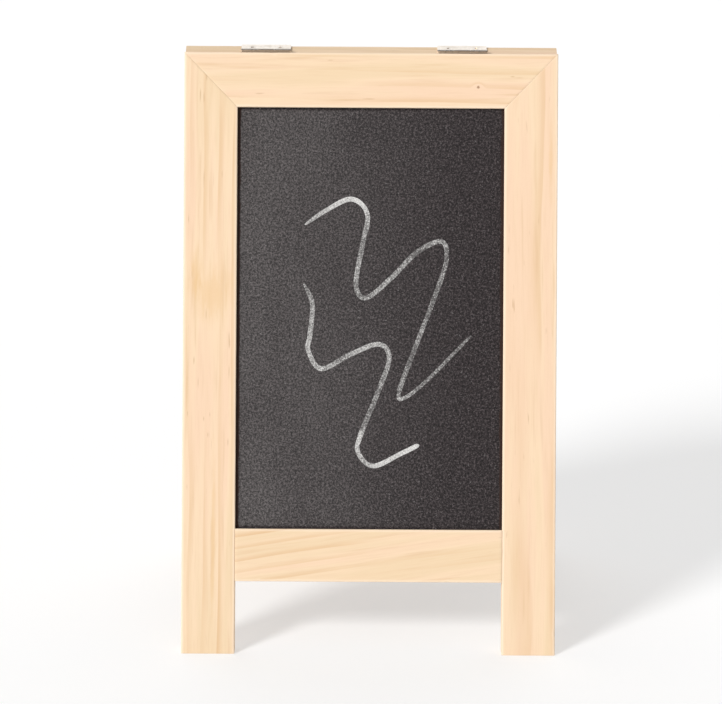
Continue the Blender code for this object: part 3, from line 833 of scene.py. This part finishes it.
def spline(points, step):
    """Points at even steps along a smooth curve through (x, y, pressure) points."""
    ends = [points[0] * 2 - points[1], *points, points[-1] * 2 - points[-2]]
    fine = []
    for a, b, c, d in zip(ends, ends[1:], ends[2:], ends[3:]):
        for index in range(SPLINE_STEPS):
            t = index / SPLINE_STEPS
            bend = (2 * a - 5 * b + 4 * c - d) * t**2 + (3 * b - a - 3 * c + d) * t**3
            fine.append(0.5 * (2 * b + (c - a) * t + bend))
    fine.append(points[-1])
    even, carried = [fine[0]], 0.0
    for before, after in zip(fine, fine[1:]):
        length = (after - before).xy.length
        while carried + length >= step:
            before = before.lerp(after, (step - carried) / length)
            length = (after - before).xy.length
            carried = 0.0
            even.append(before)
        carried += length
    return even


def wander(along, swing, row):
    """A factor that wanders round 1 along a stroke."""
    share, pace = swing
    return 1 + share * noise.noise(Vector((along * pace, row, 0)))


def add_stroke(name, points, face, middle):
    """A chalk stroke on the front board: a low mound whose rims dip into the board."""
    line = spline([Vector(point) for point in points], STROKE_STEP)
    count = len(line)
    first_taper, last_taper = STROKE_TAPERS[name]
    bm = bmesh.new()
    strokes, top, under = [], [], []
    for index, spot in enumerate(line):
        before, after = line[max(index - 1, 0)], line[min(index + 1, count - 1)]
        run = (after - before).xy.normalized()
        normal = Vector((-run.y, run.x))
        along = index * STROKE_STEP
        share = index / (count - 1)
        taper = min(1.0, share / first_taper, (1 - share) / last_taper)
        half = STROKE_WIDTH / 2 * wander(along, WIDTH_WANDER, 3.7)
        half *= STROKE_TIP + (1 - STROKE_TIP) * sqrt(taper)
        if name == "upper" and share > LAST_LEG:
            half *= LAST_LEG_WIDTH
        pressure = spot.z * wander(along, PRESSURE_WANDER, 9.1)
        for rows, upper in ((top, True), (under, False)):
            row = []
            for lane in STROKE_LANES:
                flat = spot.xy + normal * lane * half
                rise = CHALK_RISE * (1 - lane * lane) - CHALK_SINK if upper else -2 * CHALK_SINK
                row.append(bm.verts.new((face.x + flat.x, face.y - rise, face.z + flat.y)))
                strokes.append((lane, along, pressure))
            rows.append(row)
    for rows, flip in ((top, False), (under, True)):
        for first, second in zip(rows, rows[1:]):
            for a, b, c, d in zip(first, first[1:], second[1:], second):
                bm.faces.new((d, c, b, a) if flip else (a, b, c, d))
    rims = []
    for rows in (under, top):
        out = [row[-1] for row in rows[1:]]
        back = [row[0] for row in rows[-2:0:-1]]
        rims.append(rows[0] + out + rows[-1][-2::-1] + back)
    bridge(bm, *rims)
    face_out(bm)
    mesh = to_mesh(bm, name)
    set_attribute(mesh, "stroke", strokes)
    set_attribute(mesh, "grain", [vertex.co - middle for vertex in mesh.vertices])
    shade(mesh, 180)
    show(f"{name}_chalk_stroke", mesh, [CHALK], "front_frame", "chalkboard", SPACE["front"])


# Metal and the fasteners inside the wood


def lathe(name, profile, flutes=0, flute_depth=0.0):
    """A piece turned about z through (radius, height) points. One that starts off z is a ring."""
    bm = bmesh.new()
    rings = []
    for radius, height in profile:
        ring = []
        for step in range(TURN_STEPS if radius else 1):
            angle = 2 * pi * step / TURN_STEPS
            spread = radius * (1 - flute_depth * (0.5 - 0.5 * cos(flutes * angle)))
            ring.append(bm.verts.new((spread * cos(angle), spread * sin(angle), height)))
        rings.append(ring)
    if profile[0][0]:
        rings.append(rings[0])
    for first, second in zip(rings, rings[1:]):
        for step in range(TURN_STEPS):
            picks = ((first, step), (first, step + 1), (second, step + 1), (second, step))
            bm.faces.new(list(dict.fromkeys(ring[index % len(ring)] for ring, index in picks)))
    face_out(bm)
    return to_mesh(bm, name)


def dome(radius, base, rise):
    """The profile of a domed end, from its middle out to its rim at the base."""
    angles = [pi / 2 * step / DOME_STEPS for step in range(DOME_STEPS + 1)]
    return [(radius * sin(angle), base + rise * cos(angle)) for angle in angles]


def thread(radius, start, end):
    """The profile of a threaded shank, going down."""
    turns = range(int((start - end) / THREAD_PITCH))
    places = [(turn + share, sunk) for turn in turns for share, sunk in THREAD_TURN]
    return [(radius - THREAD_DEPTH * sunk, start - THREAD_PITCH * place) for place, sunk in places]


def recess(top):
    """The two cutters of a tapered cross recess."""
    cutters = []
    for turn in (0, 90):
        bm = bmesh.new()
        bmesh.ops.create_cube(bm, size=1.0)
        for vertex in bm.verts:
            deep = vertex.co.z < 0
            span, width = RECESS_TAPER if deep else (1, 1)
            vertex.co.x *= RECESS_SPAN * span
            vertex.co.y *= RECESS_WIDTH * width
            vertex.co.z = top - RECESS_DEPTH if deep else top + RECESS_DEPTH / 5
        bm.transform(Matrix.Rotation(radians(turn), 4, "Z"))
        cutters.append(to_mesh(bm, "recess"))
    return cutters


def ease(mesh, width):
    """A new mesh with the corners rounded."""
    bm = welded(mesh, NEAR / 2)
    limit = radians(CORNER)
    sharp = [edge for edge in bm.edges if edge.is_manifold and edge.calc_face_angle() > limit]
    bmesh.ops.bevel(bm, geom=sharp, offset=width, segments=2, profile=0.5, affect="EDGES")
    return to_mesh(bm, mesh.name)


def extruded(outline, start, end):
    """A prism along x, from its (y, z) outline, as a bmesh."""
    bm = bmesh.new()
    ends = [[bm.verts.new((x, y, z)) for y, z in outline] for x in (start, end)]
    bridge(bm, *ends)
    for ring in ends:
        bm.faces.new(ring)
    face_out(bm)
    return bm


def polar(radius, degrees):
    """The y and z of the point at a radius and an angle round the pins' axis."""
    return (radius * cos(radians(degrees)), radius * sin(radians(degrees)))


def add_leaf(hand, side):
    """A leaf: a stamped plate, with its edge rolled into knuckles about the pins' axis."""
    node = f"{hand}_hinge_{side}_leaf"
    low, high = extent(node, side)
    bottom = LEAF_LIFT - BARREL_RADIUS
    turns = range(-90, ROLL_END + 1, ROLL_STEP)
    outline = [(low.y, bottom), (ROLL_START[0], bottom)]
    outline += [polar(BARREL_RADIUS, turn) for turn in turns]
    outline += [polar(BARREL_RADIUS - LEAF_THICKNESS, turn) for turn in reversed(turns)]
    outline += [(ROLL_START[1], bottom + LEAF_THICKNESS), (low.y, bottom + LEAF_THICKNESS)]
    bm = extruded(outline, low.x, high.x)
    corners = []
    for edge in bm.edges:
        first, second = (vertex.co for vertex in edge.verts)
        if max(first.y, second.y) < low.y + NEAR and first.x == second.x:
            corners.append(edge)
    bmesh.ops.bevel(bm, geom=corners, offset=LEAF_CORNER, segments=6, profile=0.5, affect="EDGES")
    mesh = to_mesh(bm, node)
    span = (high.x - low.x) / KNUCKLES
    room = BARREL_RADIUS + FIT
    own = 0 if side == "front" else 1
    cutters = []
    for index in range(KNUCKLES):
        if index % 2 != own:
            start = low.x + span * index - (FIT if index == 0 else FIT / 2)
            end = low.x + span * (index + 1) + (FIT if index == KNUCKLES - 1 else FIT / 2)
            gap = box((start, -room, -CUTTER_REACH), (end, CUTTER_REACH, CUTTER_REACH))
            cutters.append(to_mesh(gap, "gap"))
    cutters += [clearance(f"{hand}_hinge_{side}_screw_{item}", side, HOLE_GAP) for item in SCREWS]
    mesh = shade(ease(cut(mesh, cutters), LEAF_EASE), 20)
    upright = SPACE[side].to_3x3()
    leaf_shade = []
    # Painted shade and reflection: knuckle faces that don't face up, and the leaf's front rim, are darkened
    for face in mesh.polygons:
        rolled = hypot(face.center.y, face.center.z) < BARREL_RADIUS + LEAF_EASE
        faces_up = (upright @ face.normal).z >= CROWN_RISE
        rim = face.normal.y < -0.5 and face.center.y < low.y + LEAF_THICKNESS / 2
        leaf_shade.append(PAINTED_SHADE_SHARE if (rolled and not faces_up) or rim else 0.0)
    set_attribute(mesh, "painted_shade", leaf_shade, "FACE")
    stand_in(node, "plate", mesh, f"{side}_frame", SPACE[side])


def add_hinge_screw(node, side):
    """A hinge's countersunk screw, with a low dome and with painted shade down in its cross recess."""
    low, high = extent(node, side)
    inwards, down = SCREW_HEAD_EASE
    top = high.z - SCREW_HEAD_RISE
    shoulder = top + SCREW_RADIUS - SCREW_HEAD_RADIUS
    profile = dome(SCREW_HEAD_RADIUS - inwards, top, SCREW_HEAD_RISE)
    profile += [(SCREW_HEAD_RADIUS, top - down), (SCREW_RADIUS, shoulder - down)]
    profile += thread(SCREW_RADIUS, shoulder - THREAD_START, low.z + SCREW_POINT)
    profile += [(SCREW_RADIUS - THREAD_DEPTH, low.z + SCREW_POINT), (0.0, low.z)]
    mesh = shade(cut(lathe(node, profile), recess(high.z)))
    # Painted shade: the recess's walls and bottom darkened
    recess_shade = []
    for face in mesh.polygons:
        deep = RECESS_GRIP < high.z - face.center.z < RECESS_DEPTH + NEAR
        recess_shade.append(float(deep and face.center.xy.length < RECESS_SPAN / 2))
    set_attribute(mesh, "painted_shade", recess_shade, "FACE")
    spot = Matrix.Translation(((low.x + high.x) / 2, (low.y + high.y) / 2, 0))
    turn = Matrix.Rotation(random.Random(node).uniform(0, pi), 4, "Z")
    stand_in(node, "turned", mesh, f"{side}_frame", SPACE[side] @ spot @ turn)


def add_pin(hand):
    """A hinge's pin, with a low dome on both ends."""
    node = f"{hand}_hinge_pin"
    low, high = extent(node)
    half = (high.x - low.x) / 2
    end = dome(PIN_RADIUS, half - PIN_DOME, PIN_DOME)
    profile = end + [(radius, -height) for radius, height in reversed(end)]
    spot = Matrix.Translation((low + high) / 2) @ Z_TO_X
    stand_in(node, "turned", shade(lathe(node, profile), 50), "front_frame", spot)


def beside_stile(node, hand, side=None):
    """A round node's place in the world, at its stile's inner face with +z away from it, and its ends.

    The side is given where the node leans with a wooden frame.
    """
    low, high = extent(node, side)
    middle = (low + high) / 2
    sign = HANDS[side or "front"][hand]
    away = Matrix.Rotation(-sign * pi / 2, 4, "Y")
    spot = Matrix.Translation((sign * HALF_OPENING[0], middle.y, middle.z)) @ away
    start, end = sorted(HALF_OPENING[0] - abs(x) for x in (low.x, high.x))
    return (SPACE[side] @ spot if side else spot), start, end


def add_stay_screw(node, hand, side):
    """A stay's domed screw, through its spacer and into the stile."""
    spot, tip, crown = beside_stile(node, hand, side)
    wide, narrow = STAY_HEAD_RADIUS, STAY_SCREW_RADIUS
    seat = crown - STAY_HEAD_HEIGHT
    profile = dome(wide, seat + STAY_HEAD_RIM, STAY_HEAD_HEIGHT - STAY_HEAD_RIM)
    profile += [(wide, seat + STAY_HEAD_EASE), (wide - STAY_HEAD_EASE, seat)]
    profile += [(narrow, seat), (narrow, 0.0)]
    profile += thread(narrow, -STAY_THREAD_START, tip + SCREW_POINT)
    profile += [(narrow - THREAD_DEPTH, tip + SCREW_POINT), (0.0, tip)]
    mesh = shade(cut(lathe(node, profile), recess(crown)))
    stand_in(node, "turned", mesh, f"{side}_frame", spot)


def add_washer(node, hand, side):
    """The spacer between a stile and a link's end."""
    spot, start, end = beside_stile(node, hand, side)
    inner, outer, bevel = LINK_HOLE, STAY_HEAD_RADIUS, WASHER_EASE
    profile = [(inner, start + bevel), (inner + bevel, start), (outer - bevel, start)]
    profile += [(outer, start + bevel), (outer, end - bevel), (outer - bevel, end)]
    profile += [(inner + bevel, end), (inner, end - bevel)]
    stand_in(node, "turned", shade(lathe(node, profile)), f"{side}_frame", spot)


def add_link(node, body):
    """A flat link with round ends and a hole in each."""
    low, high = extent(node)
    half = (high.z - low.z) / 2
    level = (high.z + low.z) / 2
    near_end, far_end = low.y + half, high.y - half
    outline = [(far_end + half * sin(a), level + half * cos(a)) for a in HALF_TURN]
    outline += [(near_end - half * sin(a), level - half * cos(a)) for a in HALF_TURN]
    mesh = to_mesh(extruded(outline, low.x, high.x), node)
    reach = CUTTER_REACH
    holes = []
    for y in (near_end, far_end):
        hole = lathe("hole", [(0.0, reach), (LINK_HOLE, reach), (LINK_HOLE, -reach), (0.0, -reach)])
        hole.transform(Matrix.Translation(((low.x + high.x) / 2, y, level)) @ Z_TO_X)
        holes.append(hole)
    stand_in(node, "flat", shade(ease(cut(mesh, holes), LINK_EASE), 20), body)


def add_rivet(node, hand, body, headed):
    """Half of a stay's knee rivet: the one with the flat head, or the one with the domed tail."""
    spot, start, end = beside_stile(node, hand)
    wide, narrow, bevel = RIVET_HEAD_RADIUS, RIVET_RADIUS, RIVET_EASE
    if headed:
        head = start + FIT + bevel
        profile = [(0.0, start), (wide - bevel, start), (wide, start + bevel), (wide, head)]
        profile += [(wide - bevel, head + bevel), (narrow, head + bevel)]
        profile += [(narrow, end - bevel / 2), (narrow - bevel / 2, end), (0.0, end)]
    else:
        under = end - RIVET_TAIL_HEIGHT
        profile = dome(wide, under, RIVET_TAIL_HEIGHT)
        profile += [(narrow, under), (narrow, start + bevel / 2)]
        profile += [(narrow - bevel / 2, start), (0.0, start)]
    stand_in(node, "turned", shade(lathe(node, profile)), body, spot)


def add_stay(hand, side):
    """One frame's half of a stay."""
    name = f"{hand}_stay_{side}"
    add_stay_screw(f"{name}_screw", hand, side)
    add_washer(f"{name}_washer", hand, side)
    add_link(f"{name}_link", name)
    add_rivet(f"{name}_rivet", hand, name, side == "front")


def add_dowel(node, side):
    """A fluted dowel, from the bottom rail into a stile."""
    low, high = extent(node, side)
    half, radius = (high.x - low.x) / 2, (high.z - low.z) / 2
    bevel = radius / 4
    rim = [(radius - bevel, half), (radius, half - bevel)]
    profile = [(0.0, half), *rim, *[(r, -height) for r, height in reversed(rim)], (0.0, -half)]
    mesh = shade(lathe(node, profile, DOWEL_FLUTES, DOWEL_FLUTE_DEPTH), 50)
    spot = Matrix.Translation((low + high) / 2) @ Z_TO_X
    stand_in(node, "fluted", mesh, f"{side}_frame", SPACE[side] @ spot)


def add_nail(node, side):
    """A V nail, with eased edges."""
    stand_in(node, "pressed", shade(ease(frame["nodes"][node].data, NAIL_EASE)), f"{side}_frame")


# Stage


def add_floor():
    """The floor, which isn't part of the object."""
    bpy.ops.mesh.primitive_plane_add(size=FLOOR_SIZE)
    floor = bpy.context.object
    floor.name = "floor"
    floor.data.materials.append(FLOOR)


def add_light():
    """A soft key from the upper left, in a pale surround that brightens behind the easel."""
    world = bpy.data.worlds.new("surround")
    world.use_nodes = True
    tree = world.node_tree
    background = tree.nodes["Background"]
    background.inputs["Color"].default_value = rgb(1.0, 1.0, 1.0)
    toward = axes(tree, add(tree, "TexCoord").outputs["Generated"])
    behind = remap(tree, toward[1], *SKY_TURN)
    low = remap(tree, toward[2], *SKY_RIM)
    pale = calc(tree, "MAXIMUM", behind, low)
    strength = calc(tree, "MULTIPLY_ADD", pale, SKY_BACK - SKY_FRONT, SKY_FRONT)
    tree.links.new(strength, background.inputs["Strength"])
    bpy.context.scene.world = world
    lamp = bpy.data.lights.new("key", "SUN")
    lamp.energy = KEY_STRENGTH
    lamp.angle = KEY_SPREAD
    turn = Matrix.Rotation(KEY_AZIMUTH, 4, "Z") @ Matrix.Rotation(pi / 2 - KEY_ELEVATION, 4, "X")
    new_object("key", lamp).matrix_world = turn


def add_camera():
    """The camera, in front of its target and a little above it."""
    lens = bpy.data.cameras.new("camera")
    lens.lens = CAMERA_LENS
    camera = new_object("camera", lens)
    turn = Matrix.Rotation(pi / 2 - CAMERA_ELEVATION, 4, "X") @ Matrix.Rotation(CAMERA_ROLL, 4, "Z")
    back = Matrix.Translation((0, 0, CAMERA_DISTANCE))
    camera.matrix_world = Matrix.Translation(CAMERA_TARGET) @ turn @ back
    bpy.context.scene.camera = camera


bpy.context.scene.view_settings.view_transform = "Standard"
add_camera()
add_light()
add_floor()
for number, side in enumerate(SPACE):
    for offset, bar in enumerate(("left_stile", "right_stile", "top_rail", "bottom_rail")):
        add_bar(side, bar, 10 * number + offset + 1)
    face, middle = add_board(side)
    if side == "front":
        for name, points in STROKES.items():
            add_stroke(name, points, face, middle)
    for hand in HANDS[side]:
        add_leaf(hand, side)
        add_stay(hand, side)
        add_nail(f"{side}_{hand}_mitre_nail", side)
        for item in SCREWS:
            add_hinge_screw(f"{hand}_hinge_{side}_screw_{item}", side)
        for rank in RANKS:
            add_dowel(f"{side}_{hand}_{rank}_dowel", side)
for hand in HANDS["front"]:
    add_pin(hand)
